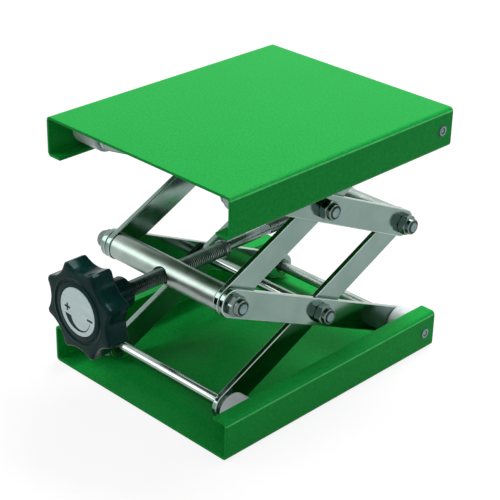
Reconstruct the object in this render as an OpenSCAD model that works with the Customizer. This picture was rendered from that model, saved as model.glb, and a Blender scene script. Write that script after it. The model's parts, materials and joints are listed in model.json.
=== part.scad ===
// Lab jack: two bent-sheet plates on a two-storey scissor linkage, raised by a knob and spindle.
// Millimetres, +Z up. X runs across the jack, the knob is at -Y.
// The origin is the centre of the base's underside.

/* [Plates] */
// Width of both plates, over their flanges
plate_w = 130; // [115:1:180]
// Length of both plates, along their flanges
plate_l = 160; // [155:1:200]
// Thickness of the sheet
sheet_t = 1.5; // [1:0.1:2]
// Height of the flanges
flange_h = 21.5; // [19:0.5:26]
// Width of the lips turned in at the edge of the flanges
lip_w = 9.5; // [6:0.5:11]
// Outer radius of the bends
bend_r = 2.4; // [2.1:0.1:3]
// Height of the top plate over the table, as stored
stage_h = 141.2; // [90:0.2:220]
// Distance of the fixed axles from the rear edge of the plates
rear_inset = 8; // [8:0.5:12]

/* [Arms] */
// Distance between an arm's end pivots
arm_pitch = 142; // [125:0.5:143]
// Width of the arms
arm_w = 15; // [12:0.5:16]
// Thickness of the arms
arm_t = 3; // [2:0.25:4]
// Space between an outer arm and the inner arm beside it
arm_gap = 0.5; // [0.4:0.1:1.5]

/* [Bars and rods] */
// Diameter of the front and rear bars
bar_d = 14; // [13:0.5:16]
// Diameter of the rods and of the bars' threaded ends
rod_d = 6; // [5:0.5:6.5]
// Length of rod that shows past a nut's collar
stud_proud = 0.4; // [0:0.1:1]
// Height of the fixed axles' riveted ends over the flange
rivet_proud = 0.5; // [0.2:0.1:1]
// Width that the fixed axles' riveted ends spread beyond their holes
rivet_spread = 0.2; // [0.1:0.05:1]

/* [Nuts, clips and washers] */
// Width across a nut's flats
nut_af = 10; // [9.5:0.5:11]
// Height of a nut's hexagon
nut_hex_h = 4.2; // [3:0.1:5]
// Height of a nut's round collar
nut_collar_h = 2.4; // [1.5:0.1:3]
// Diameter of a nut's round collar
nut_collar_d = 8.8; // [8.2:0.1:9.4]
// Radius at the top of a nut's collar
nut_collar_r = 0.8; // [0.2:0.1:1]
// Space between the nuts and the inner edge of the lips
nut_lip_gap = 3.5; // [1:0.5:6]
// Thickness of a retaining clip
clip_t = 0.8; // [0.5:0.1:1]
// Width of a retaining clip's ring
clip_ring = 1.9; // [1.2:0.1:2.5]
// Depth of the groove that a clip sits in
clip_groove = 0.5; // [0.3:0.1:0.8]
// Opening angle of a clip
clip_mouth = 70; // [40:5:90]
// Outer diameter of the washers between the arms
washer_d = 11; // [9.5:0.5:12]

/* [Rollers] */
// Space between a roller and each side of its track
roller_gap = 0.25; // [0.2:0.05:0.5]
// Space between a roller's end and the flange
roller_end_gap = 0.5; // [0.2:0.1:1]
// Chamfer at a roller's rims
roller_chamfer = 0.6; // [0.2:0.1:1]
// Outer diameter of the steel rings that fill in beside the inner arms
ring_d = 10; // [9:0.5:12]

/* [Spindle] */
// Diameter of the spindle's coarse thread
coarse_d = 8; // [7:0.5:9]
// Length of the coarse thread between the knob and the stop pin
coarse_l = 67.7; // [50:0.1:75]
// Diameter of the plain shank between the threads
shank_d = 5.3; // [4.5:0.1:5.5]
// Length of the plain shank
shank_l = 33; // [10:0.5:50]
// Diameter of the fine thread
fine_d = 6; // [5.6:0.1:6.5]
// Length of spindle past the rear bar's axis
tail_l = 10; // [8:0.5:20]
// Distance between the knob's hub and the front bar's axis
knob_reach = 30.2; // [24:0.1:40]
// Diameter of the stop washer
stop_d = 9.6; // [9:0.1:13]
// Thickness of the stop washer
stop_t = 1.2; // [0.8:0.1:2]
// Diameter of the stop pin
pin_d = 2; // [1:0.1:2.2]
// Length of the stop pin
pin_l = 9.6; // [9:0.2:11]
// Slope of the stop pin across the spindle
pin_slope = 34; // [-90:1:90]
// Diameter of the countersink round the bars' cross holes, beyond the hole
mouth_extra = 2.8; // [0.6:0.2:3]
// Chamfer at the ends of threads
thread_chamfer = 0.6; // [0.3:0.1:1]

/* [Knob] */
// Diameter over the knob's lobes
knob_d = 49.5; // [44:0.5:54]
// Number of lobes
lobes = 8; // [6:1:9]
// Length of the lobes along the spindle
lobe_l = 12.8; // [10:0.2:18]
// Depth of the hollows between lobes
scallop_depth = 3.8; // [3:0.1:5]
// Radius of the hollows between lobes
scallop_r = 17; // [12:0.5:20]
// Rest angle of the first lobe from the vertical
lobe_phase = 20.5; // [0:0.1:45]
// Chamfer at the lobes' ends
lobe_chamfer = 1; // [0.4:0.1:2]
// Diameter of the hub
hub_d = 16.6; // [14:0.2:20]
// Length of the hub behind the lobes
hub_l = 16.4; // [8:0.2:22]
// Length of the cone between the lobes and the hub
hub_cone = 3; // [1:0.5:5]
// Diameter of the metal insert moulded in the hub
insert_d = 11.5; // [10.5:0.5:13]
// Thickness of plastic in front of the insert
knob_wall = 4; // [3:0.5:6]
// Diameter of the label
label_d = 25; // [18:0.5:26]
// Thickness of the label
label_t = 0.5; // [0.3:0.1:1]
// Depth of the seat that the label lies in
label_seat = 0.3; // [0.2:0.1:0.8]
// Inner diameter of the groove round the label
groove_d = 30.5; // [28:0.5:32]
// Width of the groove round the label
groove_w = 1.7; // [0.5:0.1:3]
// Depth of the groove round the label
groove_t = 0.6; // [0.3:0.1:1.5]

/* [Clearances] */
// Radial clearance of a pivot
pivot_fit = 0.05; // [0.03:0.01:0.1]
// Radial clearance of pieces that are fixed on a rod
seat_fit = 0.02; // [0.01:0.01:0.05]
// Radial clearance of the spindle's threads in the bars
thread_fit = 0.1; // [0.05:0.01:0.15]
// Clearance between flat faces that slide on each other
face_fit = 0.05; // [0.03:0.01:0.1]

/* [Hidden] */
$fn = 96;

// Colours, as the photo shows them
plate_green = [0.16, 0.66, 0.32];
arm_steel = [0.62, 0.67, 0.64];
bright_steel = [0.78, 0.80, 0.78];
dark_steel = [0.30, 0.33, 0.32];
nylon_white = [0.88, 0.92, 0.94];
knob_black = [0.06, 0.08, 0.08];
label_silver = [0.72, 0.78, 0.77];
insert_brass = [0.72, 0.60, 0.32];

// Overlap that keeps cut faces from coinciding
cut = 1;

// Heights and lengths of the linkage
axle_z = flange_h / 2;
top_axle_z = stage_h - axle_z;
bar_z = stage_h / 2;
lift_angle = asin((bar_z - axle_z) / arm_pitch);
bar_spacing = arm_pitch * cos(lift_angle);
rear_y = plate_l / 2 - rear_inset;
front_y = rear_y - bar_spacing;
cross_y = (rear_y + front_y) / 2;
lower_cross_z = (axle_z + bar_z) / 2;
upper_cross_z = (bar_z + top_axle_z) / 2;

// Places across the jack, outwards from the middle
track_x = plate_w / 2 - sheet_t;
nut_h = nut_hex_h + nut_collar_h;
stud_x = plate_w / 2 - lip_w - nut_lip_gap;
outer_arm_x1 = stud_x - stud_proud - nut_h - face_fit;
outer_arm_x0 = outer_arm_x1 - arm_t;
inner_arm_x1 = outer_arm_x0 - arm_gap;
inner_arm_x0 = inner_arm_x1 - arm_t;
bar_x = inner_arm_x0 - face_fit;
beside_x = outer_arm_x1 + face_fit;
roller_x1 = track_x - roller_end_gap;

// Rounds
rod_r = rod_d / 2;
pivot_r = rod_r + pivot_fit;
seat_r = rod_r + seat_fit;
clip_bore_r = rod_r - clip_groove + seat_fit;
clip_r = rod_r - clip_groove + clip_ring;
roller_r = (flange_h - 2 * sheet_t) / 2 - roller_gap;
roller_l = roller_x1 - beside_x;
spacer_l = track_x - face_fit - beside_x;
stud_chamfer = 0.5;

// Places along the spindle
hub_y = front_y - knob_reach;
face_y = hub_y - hub_l - lobe_l;
stop_y = hub_y + coarse_l;
shank_y = stop_y + shank_l;
tail_y = rear_y + tail_l;
insert_y = face_y + knob_wall;

// Turns a shape drawn along Z so that it runs along +X or +Y
module along_x() { rotate([0, 90, 0]) children(); }
module along_y() { rotate([-90, 0, 0]) children(); }

// Draws its child on the right and mirrored on the left
module both_sides() {
    children();
    mirror([1, 0, 0]) children();
}

// A round rod along Z with chamfered ends
module chamfered_rod(r, l, c) {
    rotate_extrude()
        polygon([[0, 0], [r - c, 0], [r, c], [r, l - c], [r - c, l], [0, l]]);
}

// A ring along Z
module ring(r, bore_r, l) {
    difference() {
        cylinder(r = r, h = l);
        translate([0, 0, -cut]) cylinder(r = bore_r, h = l + 2 * cut);
    }
}

// Outline of a rectangle w by h with corners of radius r, its lower edge on the X axis
module rounded_outline(w, h, r) {
    translate([-w / 2 + r, 0]) square([w - 2 * r, h]);
    translate([-w / 2, r]) square([w, h - 2 * r]);
    for (x = [-w / 2 + r, w / 2 - r], y = [r, h - r]) translate([x, y]) circle(r = r);
}

// Cross-section of a plate: a channel with its lips turned in at the top
module channel_outline() {
    difference() {
        rounded_outline(plate_w, flange_h, bend_r);
        translate([0, sheet_t])
            rounded_outline(plate_w - 2 * sheet_t, flange_h - 2 * sheet_t, bend_r - sheet_t);
        translate([-plate_w / 2 + lip_w, flange_h / 2])
            square([plate_w - 2 * lip_w, flange_h]);
    }
}

// A plate as the base lies, with holes for the fixed axle's ends
module plate() {
    difference() {
        translate([0, plate_l / 2, 0]) rotate([90, 0, 0])
            linear_extrude(plate_l) channel_outline();
        translate([-plate_w, rear_y, axle_z]) along_x() cylinder(r = seat_r, h = 2 * plate_w);
    }
}

// An arm from one pivot to the other in the Y-Z plane, between x and x + arm_t
module arm(x, start_y, start_z, angle) {
    translate([x, start_y, start_z]) rotate([90, 0, 90]) rotate([0, 0, angle])
        linear_extrude(arm_t) difference() {
            union() {
                translate([0, -arm_w / 2]) square([arm_pitch, arm_w]);
                circle(d = arm_w);
                translate([arm_pitch, 0]) circle(d = arm_w);
            }
            for (along = [0, 0.5, 1]) translate([along * arm_pitch, 0]) circle(r = pivot_r);
        }
}

// Groove for a clip in a rod along X, outwards from x
module groove(x) {
    translate([x - face_fit, 0, 0]) along_x()
        ring(rod_r + cut, rod_r - clip_groove, clip_t + 2 * face_fit);
}

// A rod across the jack with rounded-off ends at x1 and a groove at each clip
module cross_rod(x1, clip_x) {
    difference() {
        translate([-x1, 0, 0]) along_x() chamfered_rod(rod_r, 2 * x1, stud_chamfer);
        both_sides() groove(clip_x);
    }
}

// The fixed axle of a plate: a rod with riveted ends outside the flanges
module fixed_axle(clip_x) {
    head_r = seat_r + rivet_spread;
    cross_rod(plate_w / 2 + rivet_proud, clip_x);
    both_sides() translate([plate_w / 2, 0, 0]) along_x()
        rotate_extrude() polygon([
            [0, 0], [head_r, 0], [head_r - rivet_proud, rivet_proud], [0, rivet_proud]
        ]);
}

// A pair of spring clips whose outer faces are at x1, with their mouths turned down
module clips(x1) {
    both_sides() translate([x1 - clip_t, 0, 0]) along_x() linear_extrude(clip_t)
        difference() {
            circle(r = clip_r);
            circle(r = clip_bore_r);
            polygon([
                [0, 0],
                2 * clip_r * [cos(clip_mouth / 2), sin(clip_mouth / 2)],
                2 * clip_r * [cos(clip_mouth / 2), -sin(clip_mouth / 2)]
            ]);
        }
}

// A pair of thin washers between the inner and outer arms
module arm_washers() {
    both_sides() translate([inner_arm_x1 + face_fit, 0, 0]) along_x()
        ring(washer_d / 2, pivot_r, arm_gap - 2 * face_fit);
}

// A lock nut along Z: a chamfered hexagon with a round collar on it
module nut() {
    corner_r = nut_af / 2 / cos(30);
    edge = corner_r - nut_af / 2;
    difference() {
        union() {
            intersection() {
                cylinder(r = corner_r, h = nut_hex_h, $fn = 6);
                rotate_extrude() polygon([
                    [0, 0], [nut_af / 2, 0], [corner_r, edge / 2],
                    [corner_r, nut_hex_h - edge / 2], [nut_af / 2, nut_hex_h], [0, nut_hex_h]
                ]);
            }
            rotate_extrude() {
                square([nut_collar_d / 2 - nut_collar_r, nut_h]);
                square([nut_collar_d / 2, nut_h - nut_collar_r]);
                translate([nut_collar_d / 2 - nut_collar_r, nut_h - nut_collar_r])
                    intersection() {
                        circle(r = nut_collar_r);
                        square(nut_collar_r);
                    }
            }
        }
        translate([0, 0, -cut]) cylinder(r = seat_r, h = nut_h + 2 * cut);
    }
}

// A pair of nuts against the outer arms
module nuts() {
    both_sides() translate([beside_x, 0, 0]) along_x() nut();
}

// A cross bar: a thick middle between the inner arms and a threaded end through each pair
module bar(hole_r) {
    mouth_r = hole_r + mouth_extra / 2;
    difference() {
        union() {
            translate([-bar_x, 0, 0]) along_x() chamfered_rod(bar_d / 2, 2 * bar_x, stud_chamfer);
            translate([-stud_x, 0, 0]) along_x() chamfered_rod(rod_r, 2 * stud_x, stud_chamfer);
        }
        translate([0, -bar_d, 0]) along_y() cylinder(r = hole_r, h = 2 * bar_d);
        for (end = [0, 180]) rotate([0, 0, end]) translate([0, bar_d / 2 - mouth_extra, 0])
            along_y() cylinder(r1 = hole_r, r2 = mouth_r, h = mouth_extra);
    }
}

// A roller or spacer of length l along Z, with chamfered rims
module nylon_sleeve(r, bore_r, l) {
    c = roller_chamfer;
    rotate_extrude() polygon([
        [bore_r, 0], [r - c, 0], [r, c], [r, l - c], [r - c, l], [bore_r, l]
    ]);
}

// Steel rings beside the inner arms, out to where the outer arms end
module filler_rings() {
    both_sides() translate([inner_arm_x1 + face_fit, 0, 0]) along_x()
        ring(ring_d / 2, pivot_r, outer_arm_x1 - inner_arm_x1 - face_fit);
}

module spacers() {
    both_sides() translate([beside_x, 0, 0]) along_x()
        nylon_sleeve(roller_r, pivot_r, spacer_l);
}

module roller() {
    translate([beside_x, 0, 0]) along_x() nylon_sleeve(roller_r, pivot_r, roller_l);
}

// Base

module base_plate() {
    color(plate_green) plate();
}

module base_rear_axle() {
    color(bright_steel) translate([0, rear_y, axle_z])
        fixed_axle(outer_arm_x0 - face_fit - clip_t);
}

module base_rear_clips() {
    color(dark_steel) translate([0, rear_y, axle_z]) clips(outer_arm_x0 - face_fit);
}

module base_rear_spacers() {
    color(nylon_white) translate([0, rear_y, axle_z]) spacers();
}

// Lower scissor

module lower_outer_arm_right() {
    color(arm_steel) arm(outer_arm_x0, rear_y, axle_z, 180 - lift_angle);
}

module lower_outer_arm_left() {
    mirror([1, 0, 0]) lower_outer_arm_right();
}

module lower_cross_rod() {
    color(bright_steel) translate([0, cross_y, lower_cross_z])
        cross_rod(stud_x, bar_x - clip_t);
}

module lower_cross_clips() {
    color(dark_steel) translate([0, cross_y, lower_cross_z]) clips(bar_x);
}

module lower_cross_washers() {
    color(bright_steel) translate([0, cross_y, lower_cross_z]) arm_washers();
}

module lower_cross_nuts() {
    color(bright_steel) translate([0, cross_y, lower_cross_z]) nuts();
}

module lower_inner_arm_right() {
    color(arm_steel) arm(inner_arm_x0, rear_y, bar_z, 180 + lift_angle);
}

module lower_inner_arm_left() {
    mirror([1, 0, 0]) lower_inner_arm_right();
}

module base_roller_axle() {
    color(bright_steel) translate([0, front_y, axle_z]) cross_rod(roller_x1, bar_x - clip_t);
}

module base_roller_clips() {
    color(dark_steel) translate([0, front_y, axle_z]) clips(bar_x);
}

module base_roller_rings() {
    color(bright_steel) translate([0, front_y, axle_z]) filler_rings();
}

module base_roller_right() {
    color(nylon_white) translate([0, front_y, axle_z]) roller();
}

module base_roller_left() {
    mirror([1, 0, 0]) base_roller_right();
}

// Bars at mid height

module front_bar() {
    color(bright_steel) translate([0, front_y, bar_z]) bar(coarse_d / 2 + thread_fit);
}

module front_bar_washers() {
    color(bright_steel) translate([0, front_y, bar_z]) arm_washers();
}

module front_bar_nuts() {
    color(bright_steel) translate([0, front_y, bar_z]) nuts();
}

module rear_bar() {
    color(bright_steel) translate([0, rear_y, bar_z]) bar(fine_d / 2 + thread_fit);
}

module rear_bar_washers() {
    color(bright_steel) translate([0, rear_y, bar_z]) arm_washers();
}

module rear_bar_nuts() {
    color(bright_steel) translate([0, rear_y, bar_z]) nuts();
}

// Spindle and knob

// Washer that meets the front bar at full height
module stop_washer() {
    color(dark_steel) translate([0, stop_y - pin_d / 2 - face_fit - stop_t, bar_z]) along_y()
        ring(stop_d / 2, coarse_d / 2 + thread_fit, stop_t);
}

// Coarse thread, plain shank and fine thread, each at its outer diameter
module spindle() {
    coarse_r = coarse_d / 2;
    shank_r = shank_d / 2;
    fine_r = fine_d / 2;
    c = thread_chamfer;
    coarse_end = stop_y + pin_d - insert_y;
    shank_end = shank_y - insert_y;
    whole = tail_y - insert_y;
    color(dark_steel) difference() {
        translate([0, insert_y, bar_z]) along_y() rotate_extrude() polygon([
            [0, 0], [coarse_r - c, 0], [coarse_r, c], [coarse_r, coarse_end - c],
            [coarse_r - c, coarse_end], [shank_r, coarse_end], [shank_r, shank_end],
            [fine_r - c / 2, shank_end], [fine_r, shank_end + c / 2],
            [fine_r, whole - c], [fine_r - c, whole], [0, whole]
        ]);
        translate([0, stop_y, bar_z]) stop_pin_shape(pin_d / 2 + seat_fit, coarse_d + 2 * cut);
    }
}

// A pin across the spindle, turned with the knob's lobes
module stop_pin_shape(r, l) {
    rotate([0, -pin_slope, 0]) along_x() translate([0, 0, -l / 2]) cylinder(r = r, h = l);
}

module stop_pin() {
    color(bright_steel) translate([0, stop_y, bar_z]) stop_pin_shape(pin_d / 2, pin_l);
}

// Star knob: an extruded star cut to a turned profile, with a hub behind it
module knob() {
    lobe_r = knob_d / 2;
    seat = label_seat;
    c = lobe_chamfer;
    star_turns = 360 / lobes;
    insert_seat_r = insert_d / 2 + seat_fit;
    color(knob_black) translate([0, face_y, bar_z]) along_y() difference() {
        union() {
            intersection() {
                linear_extrude(lobe_l) difference() {
                    circle(r = lobe_r);
                    for (i = [0 : lobes - 1])
                        rotate([0, 0, (i + 0.5) * star_turns - 90 - lobe_phase])
                            translate([lobe_r - scallop_depth + scallop_r, 0])
                                circle(r = scallop_r);
                }
                rotate_extrude() polygon([
                    [0, 0], [lobe_r - c, 0], [lobe_r, c], [lobe_r, lobe_l - c],
                    [lobe_r - c, lobe_l], [0, lobe_l]
                ]);
            }
            translate([0, 0, lobe_l]) rotate_extrude() polygon([
                [0, -cut], [hub_d / 2 + hub_cone, -cut], [hub_d / 2 + hub_cone, 0],
                [hub_d / 2, hub_cone], [hub_d / 2, hub_l - c / 2],
                [hub_d / 2 - c / 2, hub_l], [0, hub_l]
            ]);
        }
        translate([0, 0, -cut]) cylinder(r = label_d / 2 + seat_fit, h = seat + cut);
        translate([0, 0, -cut]) ring(groove_d / 2 + groove_w, groove_d / 2, groove_t + cut);
        translate([0, 0, knob_wall]) cylinder(r = insert_seat_r, h = hub_l + lobe_l);
    }
}

module knob_insert() {
    color(insert_brass) translate([0, insert_y, bar_z]) along_y()
        ring(insert_d / 2, coarse_d / 2 + seat_fit, hub_y - insert_y);
}

module knob_label() {
    color(label_silver) translate([0, face_y + label_seat - label_t, bar_z]) along_y()
        cylinder(r = label_d / 2, h = label_t);
}

// Upper scissor

module upper_inner_arm_right() {
    color(arm_steel) arm(inner_arm_x0, front_y, bar_z, lift_angle);
}

module upper_inner_arm_left() {
    mirror([1, 0, 0]) upper_inner_arm_right();
}

module upper_outer_arm_right() {
    color(arm_steel) arm(outer_arm_x0, rear_y, bar_z, 180 - lift_angle);
}

module upper_outer_arm_left() {
    mirror([1, 0, 0]) upper_outer_arm_right();
}

module upper_cross_rod() {
    color(bright_steel) translate([0, cross_y, upper_cross_z])
        cross_rod(stud_x, bar_x - clip_t);
}

module upper_cross_clips() {
    color(dark_steel) translate([0, cross_y, upper_cross_z]) clips(bar_x);
}

module upper_cross_washers() {
    color(bright_steel) translate([0, cross_y, upper_cross_z]) arm_washers();
}

module upper_cross_nuts() {
    color(bright_steel) translate([0, cross_y, upper_cross_z]) nuts();
}

module top_roller_axle() {
    color(bright_steel) translate([0, front_y, top_axle_z])
        cross_rod(roller_x1, outer_arm_x0 - face_fit - clip_t);
}

module top_roller_clips() {
    color(dark_steel) translate([0, front_y, top_axle_z]) clips(outer_arm_x0 - face_fit);
}

module top_roller_right() {
    color(nylon_white) translate([0, front_y, top_axle_z]) roller();
}

module top_roller_left() {
    mirror([1, 0, 0]) top_roller_right();
}

// Top plate

module top_plate() {
    color(plate_green) translate([0, 0, stage_h]) mirror([0, 0, 1]) plate();
}

module top_rear_axle() {
    color(bright_steel) translate([0, rear_y, top_axle_z]) fixed_axle(bar_x - clip_t);
}

module top_rear_clips() {
    color(dark_steel) translate([0, rear_y, top_axle_z]) clips(bar_x);
}

module top_rear_rings() {
    color(bright_steel) translate([0, rear_y, top_axle_z]) filler_rings();
}

module top_rear_spacers() {
    color(nylon_white) translate([0, rear_y, top_axle_z]) spacers();
}

base_plate();
base_rear_axle();
base_rear_clips();
base_rear_spacers();
lower_outer_arm_left();
lower_outer_arm_right();
lower_cross_rod();
lower_cross_clips();
lower_cross_washers();
lower_cross_nuts();
lower_inner_arm_left();
lower_inner_arm_right();
base_roller_axle();
base_roller_clips();
base_roller_rings();
base_roller_left();
base_roller_right();
front_bar();
front_bar_washers();
front_bar_nuts();
rear_bar();
rear_bar_washers();
rear_bar_nuts();
stop_washer();
spindle();
stop_pin();
knob();
knob_insert();
knob_label();
upper_inner_arm_left();
upper_inner_arm_right();
upper_outer_arm_left();
upper_outer_arm_right();
upper_cross_rod();
upper_cross_clips();
upper_cross_washers();
upper_cross_nuts();
top_roller_axle();
top_roller_clips();
top_roller_left();
top_roller_right();
top_plate();
top_rear_axle();
top_rear_clips();
top_rear_rings();
top_rear_spacers();
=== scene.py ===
"""Lab jack: camera, light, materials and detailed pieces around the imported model."""
import json
import math

import bmesh
import bpy
import numpy as np
from mathutils import Matrix, Vector
from mathutils.bvhtree import BVHTree


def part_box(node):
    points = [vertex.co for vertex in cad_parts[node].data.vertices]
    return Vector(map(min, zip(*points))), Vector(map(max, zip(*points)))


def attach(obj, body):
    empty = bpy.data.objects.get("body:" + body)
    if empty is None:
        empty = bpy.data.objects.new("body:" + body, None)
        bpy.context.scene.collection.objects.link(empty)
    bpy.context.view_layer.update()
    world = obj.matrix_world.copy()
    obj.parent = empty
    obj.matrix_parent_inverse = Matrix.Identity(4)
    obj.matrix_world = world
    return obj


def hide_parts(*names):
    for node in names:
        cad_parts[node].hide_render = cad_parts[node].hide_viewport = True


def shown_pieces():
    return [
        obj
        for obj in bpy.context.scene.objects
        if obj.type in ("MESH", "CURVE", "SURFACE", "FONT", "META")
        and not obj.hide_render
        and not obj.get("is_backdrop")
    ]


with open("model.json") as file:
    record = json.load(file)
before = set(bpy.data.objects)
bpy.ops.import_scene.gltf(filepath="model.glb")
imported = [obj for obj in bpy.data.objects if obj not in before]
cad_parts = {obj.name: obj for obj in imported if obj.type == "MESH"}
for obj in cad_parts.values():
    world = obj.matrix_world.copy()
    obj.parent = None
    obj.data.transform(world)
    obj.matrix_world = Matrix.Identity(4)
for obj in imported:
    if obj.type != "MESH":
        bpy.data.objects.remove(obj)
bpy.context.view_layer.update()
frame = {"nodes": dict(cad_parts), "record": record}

nodes = frame["nodes"]
MM = 0.001

# ---------------------------------------------------------------- camera

W, H = 500, 500
LONG = max(W, H)
CAMERA_AT = Vector((0.47944, -0.49566, 0.41975))
AZIMUTH, ELEVATION, ROLL = (math.radians(a) for a in (44.0295, 27.3679, 1.418))
LENS, SENSOR, SHIFT_X, SHIFT_Y = 106.1006, 36.0, 0.0, 0.0
CLIP_START, CLIP_END = 0.05, 20

# Where a ray that misses is searched for the place nearest to it: metres from the camera, steps
SEARCH_FROM, SEARCH_TO, SEARCH_STEPS = 0.5, 1.2, 141

# Image points of the photograph: x, y in a 500 by 500 frame
EDGE_POINTS = {"left": 47.0, "right": 453.0, "top": 44.3, "bottom": 460.3}
POINTS = {
    "top_near_corner": (229.5, 200.0),
    "top_flange_rear_bottom": (449.3, 146.5),
    "base_front_left_corner": (58.5, 359.0),
    "base_rear_right_corner": (431.0, 345.5),
    "front_bar_stud_end": (243.5, 309.5),
    "rear_bar_stud_end": (413.5, 227.5),
    "lower_rod_stud_end": (329.0, 318.0),
    "upper_rod_stud_end": (334.5, 213.0),
    "base_rivet_head": (422.3, 334.0),
    "top_rivet_head": (440.8, 131.3),
    "label_centre": (78.3, 313.2),
    "arrow": (77.8, 324.1),
    "stop_pin": (224.4, 248.3),
}


def camera_axes():
    """Right, up and backward directions of the camera."""
    right = Vector((math.cos(AZIMUTH), math.sin(AZIMUTH), 0))
    back = Vector((math.sin(AZIMUTH) * math.cos(ELEVATION),
                   -math.cos(AZIMUTH) * math.cos(ELEVATION), math.sin(ELEVATION)))
    up = back.cross(right)
    rolled_right = math.cos(ROLL) * right + math.sin(ROLL) * up
    rolled_up = math.cos(ROLL) * up - math.sin(ROLL) * right
    return rolled_right, rolled_up, back


RIGHT, UP, BACK = camera_axes()


def make_camera():
    data = bpy.data.cameras.new("camera")
    data.sensor_fit = "AUTO"
    data.sensor_width, data.lens = SENSOR, LENS
    data.shift_x, data.shift_y = SHIFT_X, SHIFT_Y
    data.clip_start, data.clip_end = CLIP_START, CLIP_END
    camera = bpy.data.objects.new("camera", data)
    axes = Matrix((RIGHT, UP, BACK)).transposed().to_4x4()
    camera.matrix_world = Matrix.Translation(CAMERA_AT) @ axes
    bpy.context.scene.collection.objects.link(camera)
    bpy.context.scene.camera = camera


def project(point):
    """Image x, y of a place in space."""
    v = Vector(point) - CAMERA_AT
    k = LONG * LENS / SENSOR / -v.dot(BACK)
    return W / 2 - SHIFT_X * LONG + k * v.dot(RIGHT), H / 2 + SHIFT_Y * LONG - k * v.dot(UP)


def place(xy, carriers):
    """Where the ray through an image point meets its carriers, or the place nearest the ray."""
    x, y = xy
    inside = (x - W / 2 + SHIFT_X * LONG, H / 2 - y + SHIFT_Y * LONG, -LONG * LENS / SENSOR)
    ray = (RIGHT * inside[0] + UP * inside[1] + BACK * inside[2]).normalized()
    hits = [tree.ray_cast(CAMERA_AT, ray) for tree in carriers]
    hits = [hit for hit in hits if hit[0] is not None]
    if not hits:
        distances = np.linspace(SEARCH_FROM, SEARCH_TO, SEARCH_STEPS)
        hits = [tree.find_nearest(CAMERA_AT + ray * d) for tree in carriers for d in distances]
    spot, _, _, _ = min(hits, key=lambda hit: hit[3])
    return spot


def tree_of(obj):
    """BVHTree of an object's finished mesh, where it stands."""
    graph = bpy.context.evaluated_depsgraph_get()
    made = bmesh.new()
    made.from_object(obj, graph)
    made.transform(obj.matrix_world)
    tree = BVHTree.FromBMesh(made)
    made.free()
    return tree


make_camera()

# ---------------------------------------------------------------- materials

# How a noise is stretched: its marks run in the directions whose number is small
ROUND_X, ROUND_Y = (1, 0.06, 0.06), (0.06, 1, 0.06)
ROLLED, TURNED_NYLON, BRUSHED = (1, 0.12, 0.12), (1, 0.1, 0.1), (0.03, 1, 1)
RING_SCALE = 2200

# The painted highlight, a paler line along the plates' outer bends: how far across it starts and
# is full, its heights on the base plate and the top plate, and how far above and below them it
# starts to fade and ends
BEND_X = (63.60 * MM, 64.40 * MM)
BEND_Z = (19.85 * MM, 139.55 * MM)
BEND_LINE = (0.22 * MM, 0.52 * MM)


class Nodes:
    """A material's node tree, with short calls for what the materials here use.

    Values named when it is made are set on the shader's own sockets. A noise's scale is per
    metre, and a bump's distance is in metres.
    """

    def __init__(self, name, **values):
        self.material = bpy.data.materials.new(name)
        self.material.use_nodes = True
        self.tree = self.material.node_tree
        self.shader = self.tree.nodes["Principled BSDF"]
        self.coords = self.tree.nodes.new("ShaderNodeTexCoord").outputs["Object"]
        for key, value in values.items():
            self.shader.inputs[key.replace("_", " ")].default_value = value

    def link(self, a, b):
        self.tree.links.new(a, b)

    def noise(self, scale, detail, stretch=(1, 1, 1)):
        mapping = self.tree.nodes.new("ShaderNodeMapping")
        mapping.inputs["Scale"].default_value = stretch
        texture = self.tree.nodes.new("ShaderNodeTexNoise")
        texture.inputs["Scale"].default_value = scale
        texture.inputs["Detail"].default_value = detail
        self.link(self.coords, mapping.inputs["Vector"])
        self.link(mapping.outputs["Vector"], texture.inputs["Vector"])
        return texture.outputs["Fac"]

    def ramp(self, fac, *stops):
        node = self.tree.nodes.new("ShaderNodeValToRGB")
        elements = node.color_ramp.elements
        while len(elements) < len(stops):
            elements.new(0.5)
        for element, (at, colour) in zip(elements, stops):
            element.position = at
            element.color = (*colour, 1)
        self.link(fac, node.inputs["Fac"])
        return node.outputs["Color"]

    def spread(self, fac, low, high, at=(0.3, 0.7)):
        """From low to high as the factor goes over the range."""
        node = self.tree.nodes.new("ShaderNodeMapRange")
        for key, value in zip(("From Min", "From Max", "To Min", "To Max"), (*at, low, high)):
            node.inputs[key].default_value = value
        self.link(fac, node.inputs["Value"])
        return node.outputs["Result"]

    def math(self, kind, a, b):
        node = self.tree.nodes.new("ShaderNodeMath")
        node.operation = kind
        for socket, value in zip(node.inputs, (a, b)):
            if isinstance(value, (int, float)):
                socket.default_value = value
            else:
                self.link(value, socket)
        return node.outputs["Value"]

    def mix(self, fac, a, b):
        """From colour a, a socket, to colour b, three numbers."""
        node = self.tree.nodes.new("ShaderNodeMix")
        node.data_type = "RGBA"
        inputs = {socket.identifier: socket for socket in node.inputs}
        self.link(fac, node.inputs["Factor"])
        self.link(a, inputs["A_Color"])
        inputs["B_Color"].default_value = (*b, 1)
        return next(socket for socket in node.outputs if socket.identifier == "Result_Color")

    def bump(self, height, strength, distance, after=None):
        node = self.tree.nodes.new("ShaderNodeBump")
        node.inputs["Strength"].default_value = strength
        node.inputs["Distance"].default_value = distance
        self.link(height, node.inputs["Height"])
        if after is not None:
            self.link(after, node.inputs["Normal"])
        return node.outputs["Normal"]

    def done(self, colour, roughness, normal=None):
        self.link(colour, self.shader.inputs["Base Color"])
        self.link(roughness, self.shader.inputs["Roughness"])
        if normal is not None:
            self.link(normal, self.shader.inputs["Normal"])
        return self.material


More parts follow.
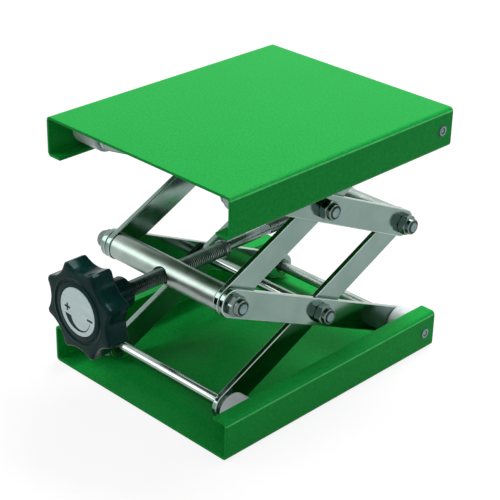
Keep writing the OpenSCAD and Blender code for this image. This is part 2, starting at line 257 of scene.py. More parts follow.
def bend_highlight(n):
    """Mask of the paler line painted along the outer bends of both plates, as a painted highlight.
    """
    split = n.tree.nodes.new("ShaderNodeSeparateXYZ")
    n.link(n.coords, split.inputs[0])
    outside = n.spread(n.math("ABSOLUTE", split.outputs["X"], 0), 0.0, 1.0, BEND_X)
    lines = []
    for at in BEND_Z:
        off = n.math("ABSOLUTE", n.math("SUBTRACT", split.outputs["Z"], at), 0)
        lines.append(n.spread(off, 1.0, 0.0, BEND_LINE))
    uneven = n.spread(n.noise(scale=300, detail=2.0), 0.6, 1.0)
    return n.math("MULTIPLY", n.math("MULTIPLY", n.math("MAXIMUM", *lines), outside), uneven)


def plate_paint():
    """Green powder coat with a fine orange peel and small darker and lighter grains."""
    n = Nodes("plate_paint", Specular_IOR_Level=0.035)
    grain = n.noise(scale=900, detail=3.0)
    patch = n.noise(scale=45, detail=2.0)
    base = n.ramp(grain, (0.30, (0.006, 0.335, 0.046)), (0.52, (0.010, 0.400, 0.060)),
                  (0.72, (0.018, 0.465, 0.080)))
    colour = n.mix(n.spread(patch, 0.0, 0.25), base, (0.007, 0.350, 0.050))
    # A paler green line along the bends: a painted highlight.
    colour = n.mix(bend_highlight(n), colour, (0.15, 0.82, 0.25))
    peel = n.bump(n.noise(scale=1500, detail=2.0), strength=0.35, distance=0.06 * MM)
    normal = n.bump(grain, strength=0.30, distance=0.12 * MM, after=peel)
    return n.done(colour, n.spread(grain, 0.28, 0.40), normal)


def arm_steel():
    """Electropolished stainless sheet: satin, with faint rolling streaks and patches."""
    n = Nodes("arm_steel", Metallic=1.0)
    cloud = n.noise(scale=60, detail=3.0)
    streak = n.noise(scale=900, detail=2.0, stretch=ROLLED)
    colour = n.ramp(cloud, (0.3, (0.175, 0.260, 0.230)), (0.7, (0.225, 0.315, 0.285)))
    colour = n.mix(n.spread(streak, 0.0, 0.3), colour, (0.17, 0.25, 0.22))
    normal = n.bump(streak, strength=0.02, distance=0.02 * MM)
    return n.done(colour, n.spread(streak, 0.10, 0.17), normal)


def turned_steel(name, dark, light, rough, marks=0.14, round_axis=ROUND_X):
    """Steel turned about X or Y: fine rings, light stains and some unevenness.

    The colours, the least and most roughness, and the strength of the rings' bump are given.
    """
    n = Nodes(name, Metallic=1.0)
    ring = n.noise(RING_SCALE, detail=1.0, stretch=round_axis)
    stain = n.noise(scale=120, detail=3.0)
    colour = n.ramp(stain, (0.32, dark), (0.68, light))
    roughness = n.math("ADD", n.spread(ring, *rough), n.spread(stain, 0.0, 0.05))
    return n.done(colour, roughness, n.bump(ring, strength=marks, distance=0.03 * MM))


def mottled(name, scale, detail, stops, rough, bump=None, **values):
    """A finish whose colour, roughness and bump, as strength and distance, follow one noise."""
    n = Nodes(name, **values)
    cloud = n.noise(scale, detail)
    normal = n.bump(cloud, *bump) if bump else None
    return n.done(n.ramp(cloud, *stops), n.spread(cloud, *rough), normal)


def nylon():
    """Milky white nylon with soft turning marks."""
    n = Nodes("nylon", Subsurface_Weight=0.12, Subsurface_Scale=2 * MM,
              Subsurface_Radius=(1.0, 0.9, 0.8))
    cloud = n.noise(scale=150, detail=2.0)
    ring = n.noise(scale=1600, detail=1.0, stretch=TURNED_NYLON)
    colour = n.ramp(cloud, (0.3, (0.82, 0.88, 0.90)), (0.7, (0.88, 0.93, 0.95)))
    normal = n.bump(ring, strength=0.15, distance=0.04 * MM)
    return n.done(colour, n.spread(ring, 0.36, 0.50), normal)


def knob_plastic():
    """Glossy black thermoset with a slight flow texture."""
    n = Nodes("knob_plastic", Specular_IOR_Level=0.07, Specular_Tint=(0.50, 1.0, 0.95, 1))
    flow = n.noise(scale=240, detail=3.0)
    fine = n.noise(scale=2600, detail=2.0)
    colour = n.ramp(flow, (0.3, (0.003, 0.026, 0.023)), (0.7, (0.005, 0.038, 0.034)))
    rough = n.math("ADD", n.spread(flow, 0.10, 0.16), n.spread(fine, 0.0, 0.03))
    grain = n.bump(fine, strength=0.12, distance=0.02 * MM)
    return n.done(colour, rough, n.bump(flow, strength=0.10, distance=0.08 * MM, after=grain))


def label_metal():
    """Brushed silver foil."""
    n = Nodes("label_metal", Metallic=0.55)
    brush = n.noise(scale=2400, detail=2.0, stretch=BRUSHED)
    cloud = n.noise(scale=180, detail=2.0)
    colour = n.ramp(brush, (0.3, (0.44, 0.56, 0.56)), (0.7, (0.58, 0.70, 0.70)))
    colour = n.mix(n.spread(cloud, 0.0, 0.2), colour, (0.34, 0.43, 0.43))
    normal = n.bump(brush, strength=0.15, distance=0.02 * MM)
    return n.done(colour, n.spread(brush, 0.30, 0.44), normal)


# The finishes of the record's material slots
materials = {
    "plate_paint": plate_paint(),
    "arm_steel": arm_steel(),
    "bright_steel": turned_steel(
        "bright_steel", (0.28, 0.35, 0.315), (0.36, 0.43, 0.395), (0.31, 0.37), marks=0.03),
    "nut_steel": turned_steel(
        "nut_steel", (0.10, 0.14, 0.13), (0.19, 0.24, 0.22), (0.06, 0.12)),
    "clip_steel": turned_steel(
        "clip_steel", (0.10, 0.11, 0.11), (0.18, 0.19, 0.18), (0.26, 0.38)),
    "spindle_steel": turned_steel(
        "spindle_steel", (0.022, 0.040, 0.035), (0.052, 0.080, 0.071), (0.20, 0.30),
        round_axis=ROUND_Y),
    "nylon": nylon(),
    "knob_plastic": knob_plastic(),
    "insert_brass": mottled(
        "insert_brass", scale=300, detail=3.0,
        stops=((0.3, (0.50, 0.34, 0.11)), (0.7, (0.68, 0.50, 0.20))),
        rough=(0.22, 0.36), bump=(0.1, 0.03 * MM), Metallic=1.0),
    "label_metal": label_metal(),
}

# Other finishes: steel that is cut or polished, lighter steel painted as highlights on the arms'
# edges and the thread's crests, the printing, and the nuts' nylon rings painted near black as
# shade
shank_steel = turned_steel("shank_steel", (0.11, 0.16, 0.15), (0.20, 0.26, 0.24), (0.16, 0.26),
                           marks=0.05, round_axis=ROUND_Y)
# Lighter steel for the coarse thread's crests behind the front bar: a painted highlight.
crest_highlight_steel = turned_steel("crest_highlight_steel", (0.26, 0.36, 0.30), (0.44, 0.54, 0.46), (0.34, 0.44),
                           round_axis=ROUND_Y)
rod_steel = turned_steel("rod_steel", (0.27, 0.33, 0.30), (0.36, 0.42, 0.39), (0.09, 0.15),
                         marks=0.04)
# Lighter steel on the arms' rounded edges: a painted highlight.
edge_highlight_steel = turned_steel("edge_highlight_steel", (0.40, 0.49, 0.45), (0.52, 0.60, 0.56), (0.26, 0.36))
end_steel = turned_steel("end_steel", (0.13, 0.20, 0.20), (0.20, 0.30, 0.29), (0.25, 0.40))
label_ink = mottled(
    "label_ink", scale=2500, detail=3.0,
    stops=((0.35, (0.004, 0.014, 0.013)), (0.75, (0.012, 0.030, 0.028))),
    rough=(0.42, 0.60), Specular_IOR_Level=0.15)
# The nuts' nylon rings, painted near black as the shade in their recess.
nut_insert_shade = mottled(
    "nut_insert_shade", scale=500, detail=2.0,
    stops=((0.3, (0.030, 0.045, 0.060)), (0.7, (0.060, 0.080, 0.100))),
    rough=(0.35, 0.50), bump=(0.2, 0.05 * MM))

slot_of = {part["node"]: part["material_slot"] for part in frame["record"]["subparts"]}
body_of = {name: body for body, names in frame["record"]["behaviour"]["bodies"].items()
           for name in names}
for name, obj in nodes.items():
    obj.data.materials.clear()
    obj.data.materials.append(materials[slot_of[name]])

# ---------------------------------------------------------------- mesh helpers

# How near vertices are to be one, the angle below which faces are one flat face, and the angle
# above which an edge is rounded
WELD, THREAD_WELD = 0.001 * MM, 0.002 * MM
FLAT_ANGLE, BEVEL_ANGLE = math.radians(0.4), math.radians(34)

# How much more a large face's normal weighs, and how near areas are to count as equal
AREA_WEIGHT, SAME_AREA = 100, 0.0001

# The least X of the normal of a rod's cut end
END_FACE = 0.97


def middle(node):
    low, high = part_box(node)
    return (low + high) / 2


def shifted(rows, radius=0, along=0):
    """Rows of (radius, distance) in millimetres, from a radius and a distance in metres."""
    return [(radius + r * MM, along + x * MM) for r, x in rows]


def finish_piece(name, mesh_or_bm, node, replaces=True, material=None):
    """Makes an object of a mesh, rides it with its CAD node's body and hides the node it replaces.
    """
    if isinstance(mesh_or_bm, bmesh.types.BMesh):
        mesh = bpy.data.meshes.new(name)
        mesh_or_bm.to_mesh(mesh)
        mesh_or_bm.free()
    else:
        mesh = mesh_or_bm
        mesh.name = name
    if not mesh.materials:
        mesh.materials.append(material or materials[slot_of[node]])
    obj = bpy.data.objects.new(name, mesh)
    bpy.context.scene.collection.objects.link(obj)
    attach(obj, body_of[node])
    if replaces:
        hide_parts(node)
    return obj


def smooth(bm, angle):
    """Smooth faces, with sharp edges where faces meet at more than an angle in degrees."""
    for face in bm.faces:
        face.smooth = True
    for edge in bm.edges:
        if len(edge.link_faces) == 2:
            edge.smooth = edge.calc_face_angle(0) < math.radians(angle)


def rounded(node, width, segments=2, material=None, edge_material=None):
    """The CAD node's own shape with its sharp edges rounded, as a new piece.

    An edge material is for the roundings alone, which then keep their full width everywhere.
    """
    name = node + "_rounded"
    bm = bmesh.new()
    bm.from_mesh(nodes[node].data)
    bmesh.ops.remove_doubles(bm, verts=bm.verts, dist=WELD)
    bmesh.ops.dissolve_limit(bm, angle_limit=FLAT_ANGLE, verts=bm.verts, edges=bm.edges)
    bmesh.ops.recalc_face_normals(bm, faces=bm.faces)
    for face in bm.faces:
        face.smooth = True
    mesh = bpy.data.meshes.new(name)
    bm.to_mesh(mesh)
    bm.free()
    mesh.materials.append(material or materials[slot_of[node]])
    draft = bpy.data.objects.new("draft", mesh)
    bpy.context.scene.collection.objects.link(draft)
    bevel = draft.modifiers.new("edges", "BEVEL")
    bevel.limit_method, bevel.angle_limit = "ANGLE", BEVEL_ANGLE
    bevel.width, bevel.segments = width, segments
    bevel.use_clamp_overlap = edge_material is None
    if edge_material:
        mesh.materials.append(edge_material)
        bevel.material = 1
    flat = draft.modifiers.new("flat faces", "WEIGHTED_NORMAL")
    flat.mode, flat.weight, flat.thresh = "FACE_AREA", AREA_WEIGHT, SAME_AREA
    graph = bpy.context.evaluated_depsgraph_get()
    made = bpy.data.meshes.new_from_object(draft.evaluated_get(graph), depsgraph=graph)
    bpy.data.objects.remove(draft)
    bpy.data.meshes.remove(mesh)
    return finish_piece(name, made, node)


def bridge(bm, a, b, index=0):
    """Faces between two rings, as triangles where a ring is a pole."""
    count = len(a)
    for i in range(count):
        corners = []
        for v in (a[i], a[(i + 1) % count], b[(i + 1) % count], b[i]):
            if v not in corners:
                corners.append(v)
        if len(corners) > 2:
            bm.faces.new(corners).material_index = index


def lathe(bm, centre, axis, profile, count, radius_at=None, index=0):
    """Rings about "x" or "y" through a profile of (radius, distance), a radius of 0 being a pole.

    radius_at gives a ring's radius from an angle, the profile's radius and the distance.
    """
    angles = [2 * math.pi * i / count for i in range(count)]
    rows = []
    for r, along in profile:
        if r == 0:
            offset = (along, 0, 0) if axis == "x" else (0, along, 0)
            rows.append([bm.verts.new(centre + Vector(offset))] * count)
            continue
        row = []
        for angle in angles:
            radius = radius_at(angle, r, along) if radius_at else r
            c, s = radius * math.cos(angle), radius * math.sin(angle)
            offset = (along, c, s) if axis == "x" else (s, along, c)
            row.append(bm.verts.new(centre + Vector(offset)))
        rows.append(row)
    for a, b in zip(rows, rows[1:]):
        bridge(bm, a, b, index)


def dull_ends(obj, length):
    """Gives the cut ends of a rod across the jack their own duller steel.

    The other faces near the end get the near-black spindle steel: a dark band round a stud's tip,
    and painted shade round a spun rivet head's rim and in its dimple.
    """
    obj.data.materials.append(end_steel)
    obj.data.materials.append(materials["spindle_steel"])
    limit = max(v.co.x for v in obj.data.vertices) - length
    for face in obj.data.polygons:
        if abs(face.center.x) > limit:
            face.material_index = 1 if abs(face.normal.x) > END_FACE else 2


# ---------------------------------------------------------------- pieces with rounded edges

# Widths of the roundings, and the length of a stud's duller end
PLATE_EDGE, ARM_EDGE, ROD_EDGE, NYLON_EDGE, SMALL_EDGE = (
    w * MM for w in (0.30, 0.45, 0.18, 0.22, 0.10))
STUD_END = 0.7 * MM

for name in nodes:
    if name.endswith("_plate"):
        rounded(name, PLATE_EDGE, 3)
    elif "_arm_" in name:
        # The arms' roundings get the lighter steel: a painted highlight.
        rounded(name, ARM_EDGE, 3, edge_material=edge_highlight_steel)
    elif name.endswith(("_bar", "_rod", "roller_axle")):
        steel = None if name.endswith("_bar") else rod_steel
        dull_ends(rounded(name, ROD_EDGE, material=steel), STUD_END)
    elif "roller_left" in name or "roller_right" in name or name.endswith("_spacers"):
        rounded(name, NYLON_EDGE)
    elif name.startswith("stop_"):
        rounded(name, SMALL_EDGE, material=rod_steel if name == "stop_pin" else shank_steel)
    elif name.endswith("_rings") or name in ("knob_label", "knob_insert"):
        rounded(name, SMALL_EDGE)

# ---------------------------------------------------------------- riveted axles

CLIP_T = 0.8 * MM
GROOVE_R, SHAFT_R, GROOVE_GAP = 2.5 * MM, 3.0 * MM, 0.05 * MM
RIVET_R, HEAD_T, RIVET_END = 3.22 * MM, 0.5 * MM, 0.52 * MM
RIM_WIDTH = 0.62 * MM

# Faces round an axle, and the angle in degrees above which its edges stay sharp
AXLE_SIDES, AXLE_SHARP = 48, 40

# Millimetres: a spun rim from the head's radius and the flange, and a dimple from the end face
RIM = ((0, -0.01), (0, 0.06), (-0.12, 0.24), (-0.32, 0.41))
DIMPLE = ((1.75, 0), (1.45, -0.10), (1.05, -0.34), (0, -0.42))


def riveted_axle(node, clips):
    """A fixed axle whose ends are spun over outside the flanges, with a small dimple in each."""
    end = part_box(node)[1].x
    flange = end - HEAD_T
    clip_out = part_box(clips)[1].x
    groove = clip_out - CLIP_T - GROOVE_GAP, clip_out + GROOVE_GAP
    half = [(SHAFT_R, groove[0]), (GROOVE_R, groove[0]), (GROOVE_R, groove[1]),
            (SHAFT_R, groove[1]), (SHAFT_R, flange + RIM[0][1] * MM)]
    half += shifted(RIM, RIVET_R, flange) + [(RIVET_R - RIM_WIDTH, end)]
    half += shifted(DIMPLE, along=end)
    profile = [(r, -x) for r, x in reversed(half)] + half
    bm = bmesh.new()
    lathe(bm, Vector((0, middle(node).y, middle(node).z)), "x", profile, AXLE_SIDES)
    bmesh.ops.recalc_face_normals(bm, faces=bm.faces)
    smooth(bm, AXLE_SHARP)
    # The spun rims and the dimples get the near-black steel as painted shade.
    dull_ends(finish_piece(node + "_spun", bm, node), RIVET_END)


riveted_axle("base_rear_axle", "base_rear_clips")
riveted_axle("top_rear_axle", "top_rear_clips")

# ---------------------------------------------------------------- lock nuts

# From the middle to a flat, height of the hexagon and of the whole nut
NUT_FLATS, NUT_HEX, NUT_HIGH = 5.0 * MM, 4.2 * MM, 6.6 * MM
COLLAR_R, BORE_R, BORE_CHAMFER = 4.4 * MM, 3.04 * MM, 0.35 * MM

# Degrees from corner to corner, and the cones that cut the corners: how far inside the flats
# they start, and how fast they widen
HEX_STEP, CORNER_CUT, CONE = 60, 0.10 * MM, 1.75
NUT_FACE_R, RING_BORE = 3.4 * MM, 0.46 * MM
NUT_SIDES, NUT_SHARP = 72, 30

# Millimetres: heights of the rings over a chamfer, the collar's foot from the collar's radius
# and the hexagon's top, its rolled lip from the nut's top, and the nylon ring's top likewise
CHAMFER = (0, 0.08, 0.16, 0.26, 0.38, 0.50)
FOOT = ((0.18, 0), (0.03, 0.06), (0, 0.2))
LIP = ((0, -0.75), (-0.10, -0.40), (-0.32, -0.12), (-0.60, 0), (-0.82, -0.05),
       (-0.92, -0.22), (-0.92, -0.40))
RING_TOP = ((3.20, -0.34),)

# How far the right and the left nut of each pair are turned, in degrees
NUT_TURNS = {
    "front_bar_nuts": (8, 40),
    "rear_bar_nuts": (22, 5),
    "lower_cross_nuts": (34, 17),
    "upper_cross_nuts": (2, 51),
}


def lock_nut(bm, centre, side, turn):
    """A lock nut beside an arm: chamfered hexagon, rolled collar and nylon ring."""
    def hexagon(angle, r, along):
        """The nut's outline, cut by cones at both ends of the hexagon."""
        if r != NUT_FLATS:
            return r
        off = (math.degrees(angle - turn) + HEX_STEP / 2) % HEX_STEP - HEX_STEP / 2
        flat = NUT_FLATS / math.cos(math.radians(off))
        depth = min(abs(along), NUT_HEX - abs(along))
        return min(flat, NUT_FLATS - CORNER_CUT + depth * CONE)

    heights = [h * MM for h in CHAMFER] + [NUT_HEX - h * MM for h in reversed(CHAMFER)]
    steel = [(BORE_R, BORE_CHAMFER), (NUT_FACE_R, 0)] + [(NUT_FLATS, h) for h in heights]
    steel += shifted(FOOT, COLLAR_R, NUT_HEX) + shifted(LIP, COLLAR_R, NUT_HIGH)
    ring = steel[-1:] + shifted(RING_TOP, along=NUT_HIGH)
    ring += [(BORE_R, NUT_HIGH - RING_BORE), (BORE_R, BORE_CHAMFER)]
    for index, profile in enumerate((steel, ring)):
        sided = [(r, side * x) for r, x in profile]
        lathe(bm, centre, "x", sided, NUT_SIDES, None if index else hexagon, index)


def lock_nuts(node, turns):
    """A pair of nuts, as one piece."""
    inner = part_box(node)[1].x - NUT_HIGH
    bm = bmesh.new()
    for side, turn in zip((1, -1), turns):
        centre = Vector((side * inner, middle(node).y, middle(node).z))
        lock_nut(bm, centre, side, math.radians(turn))
    bmesh.ops.remove_doubles(bm, verts=bm.verts, dist=WELD)
    bmesh.ops.recalc_face_normals(bm, faces=bm.faces)
    smooth(bm, NUT_SHARP)
    # The nylon rings take the near-black finish painted as shade.
    finish_piece(node + "_turned", bm, node).data.materials.append(nut_insert_shade)


for name, turns in NUT_TURNS.items():
    lock_nuts(name, turns)

# ---------------------------------------------------------------- spindle with real threads

# Pitch, depth and hand of each thread, the index of its flanks' and of its crests' material, and
# the Y past which the crests are painted lighter as a painted highlight, while nearer the knob
# they keep the dark flanks' colour as painted shade
COARSE = dict(pitch=1.25 * MM, depth=0.62 * MM, hand=1, flank=0, crest=2, lit_crests_from=-50 * MM)
FINE = dict(pitch=1.0 * MM, depth=0.50 * MM, hand=-1, flank=1, crest=1, lit_crests_from=0)

# How deep a thread is at equal steps of its pitch, as a share of its depth
STEPS = (0.0, 0.0, 0.5, 1.0, 0.5)

# Radii where the stretches start and end, the steps between them, and how far past the stop pin
# the coarse thread ends and the fine one starts
COARSE_END_R, SHANK_R, SHOULDER = 3.3 * MM, 2.65 * MM, 0.1 * MM
FINE_R, FINE_START_R, FINE_END_R, NECK = 3.0 * MM, 2.5 * MM, 2.4 * MM, 0.3 * MM
COARSE_PAST_PIN, FINE_PAST_PIN = 2.0 * MM, 33.0 * MM
CENTRE_R, CENTRE_DEEP = 0.9 * MM, 0.7 * MM
SPINDLE_SIDES, SPINDLE_SHARP = 48, 28


def helix(bm, centre, span, radius, ends, pitch, depth, hand, flank, crest, lit_crests_from):
    """A threaded stretch along Y, whose rings follow the helix and close on plain circles.

    span: where it starts and ends. ends: the radii of the circles it closes on.
    """
    start, end = span
    per_turn, count = len(STEPS), SPINDLE_SIDES
    total = int(math.ceil((end - start) / pitch * per_turn)) + 2 * per_turn
    rows = []
    for i in range(total + 1):
        row = []
        for j in range(count):
            raw = start + (i - per_turn) * pitch / per_turn + pitch * j / count
            at = min(max(raw, start), end)
            r = radius - depth * STEPS[i % per_turn]
            r = min(r, ends[0] + (at - start), ends[1] + (end - at))
            angle = hand * 2 * math.pi * j / count
            row.append(bm.verts.new(centre + Vector((r * math.sin(angle), at,
                                                     r * math.cos(angle)))))
        rows.append(row)
    for i in range(total):
        for j in range(count):
            a, b = rows[i], rows[i + 1]
            if j + 1 < count:
                quad = [a[j], a[j + 1], b[j + 1], b[j]]
            elif i + 1 + per_turn <= total:
                quad = [a[j], rows[i + per_turn][0], rows[i + 1 + per_turn][0], b[j]]
            else:
                continue
            face = bm.faces.new(quad)
            # Crests past that Y are painted lit; nearer the knob they stay dark as painted shade.
            lit_crest = i % per_turn == 0 and face.calc_center_median().y > lit_crests_from
            face.material_index = crest if lit_crest else flank


def make_spindle():
    """Coarse thread, plain shank and fine thread, with a centre hole in the rear end."""
    low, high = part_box("spindle")
    centre = Vector((0, 0, middle("spindle").z))
    pin_y = middle("stop_pin").y
    coarse_end, fine_start = pin_y + COARSE_PAST_PIN, pin_y + FINE_PAST_PIN
    front = [(0, low.y), (COARSE_END_R, low.y)]
    shank = [(COARSE_END_R, coarse_end), (SHANK_R + SHOULDER, coarse_end),
             (SHANK_R, coarse_end + SHOULDER), (SHANK_R, fine_start - NECK),
             (FINE_START_R, fine_start)]
    rear = [(FINE_END_R, high.y), (CENTRE_R, high.y), (0, high.y - CENTRE_DEEP)]
    bm = bmesh.new()
    lathe(bm, centre, "y", front, SPINDLE_SIDES)
    helix(bm, centre, (low.y, coarse_end), high.x, (COARSE_END_R, COARSE_END_R), **COARSE)
    lathe(bm, centre, "y", shank, SPINDLE_SIDES, index=1)
    helix(bm, centre, (fine_start, high.y), FINE_R, (FINE_START_R, FINE_END_R), **FINE)
    lathe(bm, centre, "y", rear, SPINDLE_SIDES)
    bmesh.ops.remove_doubles(bm, verts=bm.verts, dist=THREAD_WELD)
    bmesh.ops.dissolve_degenerate(bm, dist=WELD, edges=bm.edges)
    bmesh.ops.recalc_face_normals(bm, faces=bm.faces)
    smooth(bm, SPINDLE_SHARP)
    obj = finish_piece("spindle_threaded", bm, "spindle")
    obj.data.materials.append(shank_steel)
    # The crests' lighter steel: a painted highlight.
    obj.data.materials.append(crest_highlight_steel)


make_spindle()

# ---------------------------------------------------------------- knob

LOBES = 8
LOBE_PHASE = math.radians(20.5)
SCALLOP_R, SCALLOP_DEPTH = 17.0 * MM, 3.8 * MM
TIP_ROUND = 0.13 * MM
KNOB_R, LOBE_T, HUB_R = 24.75 * MM, 12.8 * MM, 8.3 * MM
KNOB_SIDES, KNOB_SHARP = 24 * LOBES, 32

# Clearance round the label and the insert, and the inset that tells the star from a circle
FIT, LEAST_INSET = 0.02 * MM, 1e-9

# Millimetres: the label's seat from its radius, and the groove and ridge on the face, each with
# its depth; the lobes' front and back edges as inset from the star, with depths from the face
# and from the lobes' back; the hub's foot from its radius and the lobes' back, its rim from its
# radius and the knob's end, and the bore's mouth from its radius and the knob's end
SEAT_EDGE = ((0, 0.10), (0.15, 0))
FACE = ((14.85, 0), (15.1, 0.08), (15.3, 0.40), (15.6, 0.60), (16.3, 0.60), (16.65, 0.45),
        (16.85, 0.12), (17.0, -0.04), (17.3, -0.12), (17.65, -0.06), (17.95, 0.04), (18.4, 0.06))
FRONT_EDGE = ((1.25, 0.0), (0.95, 0.06), (0.55, 0.32), (0.24, 0.70), (0.06, 1.15), (0.0, 1.6))
BACK_EDGE = ((0.0, -1.3), (0.10, -0.85), (0.42, -0.35), (0.95, -0.05), (1.4, 0))
HUB_FOOT = ((3.2, 0), (2.9, 0.1), (0.25, 2.75), (0, 3.1))
HUB_RIM = ((0, -0.8), (-0.25, -0.25), (-0.7, 0))
BORE_MOUTH = ((0.25, 0), (0, -0.2))


def star(angle):
    """Outline of the knob: a circle with round hollows between the lobes, its tips softened."""
    step = 2 * math.pi / LOBES
    off = (angle + LOBE_PHASE) % step - step / 2
    away = KNOB_R - SCALLOP_DEPTH + SCALLOP_R
    across = away * math.sin(off)
    if abs(across) >= SCALLOP_R:
        return KNOB_R
    hollow = away * math.cos(off) - math.sqrt(SCALLOP_R ** 2 - across ** 2)
    soft = -TIP_ROUND * math.log(math.exp(-hollow / TIP_ROUND) + math.exp(-KNOB_R / TIP_ROUND))
    return min(soft, KNOB_R)


def star_or_circle(angle, r, along):
    """A negative radius is an inset from the star."""
    return star(angle) + r if r < 0 else r


def make_knob():
    """Star with a seat for the label, a groove and a ridge, on a hub with a bore."""
    low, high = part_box("knob")
    centre = Vector((0, low.y, middle("knob_label").z))
    long = high.y - low.y
    seat, seat_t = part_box("knob_label")[1].x + FIT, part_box("knob_label")[1].y - low.y
    bore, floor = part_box("knob_insert")[1].x + FIT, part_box("knob_insert")[0].y - low.y
    edges = shifted(FRONT_EDGE) + shifted(BACK_EDGE, along=LOBE_T)
    profile = [(0, seat_t), (seat, seat_t)] + shifted(SEAT_EDGE, seat) + shifted(FACE)
    profile += [(-max(inset, LEAST_INSET), t) for inset, t in edges]
    profile += shifted(HUB_FOOT, HUB_R, LOBE_T) + shifted(HUB_RIM, HUB_R, long)
    profile += shifted(BORE_MOUTH, bore, long) + [(bore, floor), (0, floor)]
    bm = bmesh.new()
    lathe(bm, centre, "y", profile, KNOB_SIDES, star_or_circle)
    bmesh.ops.recalc_face_normals(bm, faces=bm.faces)
    smooth(bm, KNOB_SHARP)
    finish_piece("knob_star", bm, "knob")


make_knob()

# ---------------------------------------------------------------- marks on the label

PRINT_T = 0.03 * MM
STROKE, STROKE_T = 4.0 * MM, 1.1 * MM
PLUS_AT, MINUS_AT = (-8.1 * MM, -0.9 * MM), (8.4 * MM, -2.3 * MM)

# The arrow's outer and inner side: degrees, and millimetres from the label's middle
ARROW_OUTER = ((-156, 10.7), (-146, 11.0), (-130, 11.35), (-100, 11.35), (-80, 11.15),
               (-60, 10.8), (-45, 10.1), (-25, 9.4))
ARROW_INNER = ((-139, 7.2), (-130, 7.9), (-110, 9.1), (-85, 10.15), (-60, 10.3),
               (-45, 9.75), (-25, 9.15))
ARROW_STEPS = 6


def printed(name, outlines, centre):
    """Closed thin shapes printed on the label, from outlines in its plane (right, up)."""
    bm = bmesh.new()
    for outline in outlines:
        front = [bm.verts.new(centre + Vector((u, -PRINT_T, v))) for u, v in outline]
        back = [bm.verts.new(centre + Vector((u, PRINT_T, v))) for u, v in outline]
        bm.faces.new(front)
        bm.faces.new(back[::-1])
        bridge(bm, front, back)
    bmesh.ops.recalc_face_normals(bm, faces=bm.faces)
    finish_piece(name, bm, "knob_label", replaces=False, material=label_ink)


def arc(spots):
    """Points along a curve of (degrees, millimetres from the label's middle)."""
    line = []
    for (a0, r0), (a1, r1) in zip(spots, spots[1:]):
        for k in range(ARROW_STEPS):
            line.append((a0 + (a1 - a0) * k / ARROW_STEPS, r0 + (r1 - r0) * k / ARROW_STEPS))
    line.append(spots[-1])
    return [(r * MM * math.cos(math.radians(a)), r * MM * math.sin(math.radians(a)))
            for a, r in line]


def bar_shape(u, v, w, h):
    """A rectangle about (u, v)."""
    return [(u - w / 2, v - h / 2), (u + w / 2, v - h / 2),
            (u + w / 2, v + h / 2), (u - w / 2, v + h / 2)]


def make_marks():
    """Prints a tapered curved arrow, blunt and broad at its tail, and a plus and a minus."""
    arrow = arc(ARROW_OUTER) + arc(ARROW_INNER)[::-1]
    mid = [(min(p[i] for p in arrow) + max(p[i] for p in arrow)) / 2 for i in (0, 1)]
    spot = place(POINTS["arrow"], [tree_of(bpy.data.objects["knob_label_rounded"])])
    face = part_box("knob_label")[0].y
    centre = Vector((spot.x - mid[0], face, spot.z - mid[1]))
    u, v = PLUS_AT
    half = (STROKE - STROKE_T) / 2
    off = STROKE_T / 2 + half / 2
    plus = [bar_shape(u, v, STROKE, STROKE_T), bar_shape(u, v + off, STROKE_T, half),
            bar_shape(u, v - off, STROKE_T, half)]
    printed("label_arrow", [arrow], centre)
    printed("label_plus", plus, centre)
    printed("label_minus", [bar_shape(*MINUS_AT, STROKE, STROKE_T)], centre)


make_marks()

# ---------------------------------------------------------------- floor, world and lamps

FLOOR_SIZE, FLOOR_Z = 12, -0.2 * MM
FLOOR_BOUNCE = (0.35, 0.35, 0.35, 1)
FLOOR_SEEN = (0.20, 0.20, 0.20, 1)
FLOOR_GLOW = 0.86
AMBIENT, AMBIENT_COLOUR = 0.31, (0.96, 0.98, 1, 1)
WHITE = (1, 1, 1, 1)

# Place, target, size in metres and power in watts
LAMPS = {
    "overhead": ((-0.11, 0.45, 1.10), (0, 0, 0.08), (0.58, 0.48), 10.2),
    "front_left": ((-0.9, -0.9, 0.75), (0, 0, 0.07), (0.6, 0.8), 4.5),
    "right_rear": ((0.68, 0.57, 0.58), (0, 0, 0.08), (0.36, 0.36), 0.8),
}


def shader(tree, kind, **values):
    """The output of a new shader node with some inputs set."""
    node = tree.nodes.new("ShaderNode" + kind)
    for key, value in values.items():
        node.inputs[key].default_value = value
    return node.outputs[0]


def show(tree, output_kind, plain, seen):
    """Ends a tree with a shader, and another for camera, glossy and transmission rays."""
    path = tree.nodes.new("ShaderNodeLightPath")
    factor = path.outputs["Is Camera Ray"]
    for ray in ("Is Glossy Ray", "Is Transmission Ray"):
        either = tree.nodes.new("ShaderNodeMath")
        either.operation = "MAXIMUM"
        tree.links.new(factor, either.inputs[0])
        tree.links.new(path.outputs[ray], either.inputs[1])
        factor = either.outputs[0]
    mix = tree.nodes.new("ShaderNodeMixShader")
    tree.links.new(factor, mix.inputs["Fac"])
    tree.links.new(plain, mix.inputs[1])
    tree.links.new(seen, mix.inputs[2])
    out = tree.nodes.new(output_kind)
    tree.links.new(mix.outputs[0], out.inputs["Surface"])


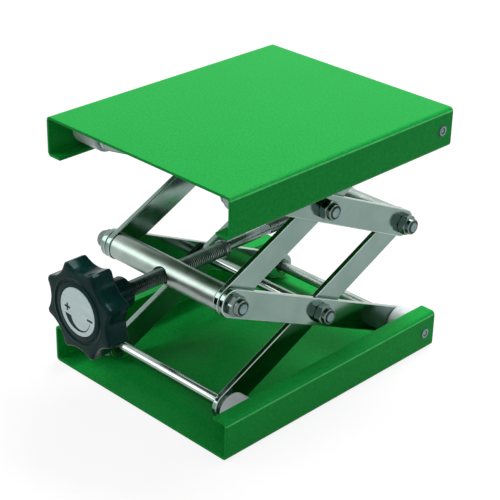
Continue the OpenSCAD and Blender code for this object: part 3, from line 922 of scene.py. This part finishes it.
def make_floor():
    """A pale floor that bounces little light on the jack, yet shows near white with its shadow."""
    bpy.ops.mesh.primitive_plane_add(size=FLOOR_SIZE, location=(0, 0, FLOOR_Z))
    floor = bpy.context.object
    floor.name = "floor"
    material = bpy.data.materials.new("floor")
    material.use_nodes = True
    tree = material.node_tree
    tree.nodes.clear()
    add = tree.nodes.new("ShaderNodeAddShader")
    tree.links.new(shader(tree, "BsdfDiffuse", Color=FLOOR_SEEN), add.inputs[0])
    tree.links.new(shader(tree, "Emission", Strength=FLOOR_GLOW), add.inputs[1])
    plain = shader(tree, "BsdfDiffuse", Color=FLOOR_BOUNCE)
    show(tree, "ShaderNodeOutputMaterial", plain, add.outputs[0])
    floor.data.materials.append(material)
    floor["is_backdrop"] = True


def make_world():
    """Soft light from all round, and white where the camera, metal or glass sees it."""
    world = bpy.data.worlds.new("studio")
    bpy.context.scene.world = world
    world.use_nodes = True
    tree = world.node_tree
    tree.nodes.clear()
    soft = shader(tree, "Background", Strength=AMBIENT, Color=AMBIENT_COLOUR)
    white = shader(tree, "Background", Strength=1.0, Color=WHITE)
    show(tree, "ShaderNodeOutputWorld", soft, white)


def softbox(name, at, target, size, power):
    """A rectangular lamp that faces its target."""
    light = bpy.data.lights.new(name, "AREA")
    light.shape, light.size, light.size_y = "RECTANGLE", size[0], size[1]
    light.energy = power
    obj = bpy.data.objects.new(name, light)
    bpy.context.scene.collection.objects.link(obj)
    obj.location = at
    obj.rotation_euler = (Vector(target) - Vector(at)).to_track_quat("-Z", "Y").to_euler()


make_floor()
make_world()
for name, values in LAMPS.items():
    softbox(name, *values)
bpy.context.scene.view_settings.view_transform = "Standard"

# ---------------------------------------------------------------- how far things show from points

# How far behind a piece's right end its vertices still count as the end's
END_DEPTH = 0.1 * MM


def shown_vertices():
    """Places of the finished vertices of every shown piece, by piece."""
    graph = bpy.context.evaluated_depsgraph_get()
    result = {}
    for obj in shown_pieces():
        done = obj.evaluated_get(graph)
        co = np.empty(len(done.data.vertices) * 3)
        done.data.vertices.foreach_get("co", co)
        matrix = np.array(done.matrix_world)
        result[obj.name] = co.reshape(-1, 3) @ matrix[:3, :3].T + matrix[:3, 3]
    return result


def report_points():
    """Works out how far each thing shows from its image point."""
    spots = shown_vertices()
    flat = {name: np.array([project(v) for v in co]) for name, co in spots.items()}
    every = np.concatenate(list(flat.values()))
    found = {"left": every[:, 0].min(), "right": every[:, 0].max(),
             "top": every[:, 1].min(), "bottom": every[:, 1].max()}
    out = {key: {"off": round(float(found[key] - want), 2)} for key, want in EDGE_POINTS.items()}

    def whole(name):
        """Middle of what a piece covers in the image."""
        return (flat[name].min(0) + flat[name].max(0)) / 2

    def end(name):
        """Middle of a piece's right end in the image."""
        x = spots[name][:, 0]
        chosen = flat[name][x > x.max() - END_DEPTH]
        return (chosen.min(0) + chosen.max(0)) / 2

    def corner(name, *way):
        """A piece's vertex that is furthest in a direction."""
        return flat[name][(spots[name] @ np.array(way)).argmax()]

    where = {
        "top_near_corner": corner("top_plate_rounded", 1, -1, 1),
        "top_flange_rear_bottom": corner("top_plate_rounded", 1, 1, -1),
        "base_front_left_corner": corner("base_plate_rounded", -1, -1, -1),
        "base_rear_right_corner": corner("base_plate_rounded", 1, 1, -1),
        "front_bar_stud_end": end("front_bar_rounded"),
        "rear_bar_stud_end": end("rear_bar_rounded"),
        "lower_rod_stud_end": end("lower_cross_rod_rounded"),
        "upper_rod_stud_end": end("upper_cross_rod_rounded"),
        "base_rivet_head": end("base_rear_axle_spun"),
        "top_rivet_head": end("top_rear_axle_spun"),
        "label_centre": whole("knob_label_rounded"),
        "arrow": whole("label_arrow"),
        "stop_pin": corner("stop_pin_rounded", 1, -1, 1),
    }
    for name, (x, y) in where.items():
        want = POINTS[name]
        out[name] = {"off": [round(float(x - want[0]), 2), round(float(y - want[1]), 2)]}


report_points()
